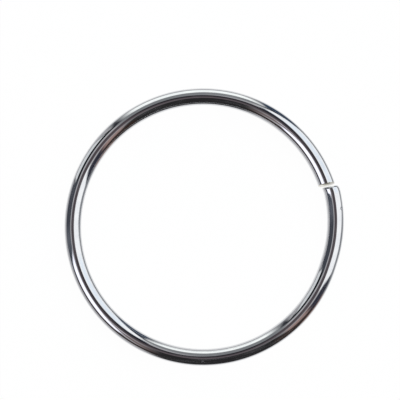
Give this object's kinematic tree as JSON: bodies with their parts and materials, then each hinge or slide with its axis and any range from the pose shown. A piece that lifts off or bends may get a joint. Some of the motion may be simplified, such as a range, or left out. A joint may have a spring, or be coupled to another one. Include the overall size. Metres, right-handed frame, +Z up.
{
  "type": "spring ring",
  "caption": "Open ring of round, bright-plated spring wire; its cut ends face each other across a narrow gap, and the wire on the -Y side of the gap stands slightly outside the circle.",
  "frame": {"origin": "centre of the ring's round part, level with the underside of the wire, where the ring lies on a table", "axes": "+Z up, along the ring's axis; +X from the centre through the gap between the two ends; the sprung end is on the -Y side of the gap"},
  "size_m": [0.0506, 0.05, 0.003],
  "materials": {
    "plated_wire": "bright electroplate over drawn spring steel wire: mirror-bright, with faint lines along the wire"
  },
  "bodies": {
    "root": {"spring_ring": "plated_wire"}
  },
  "joints": []
}
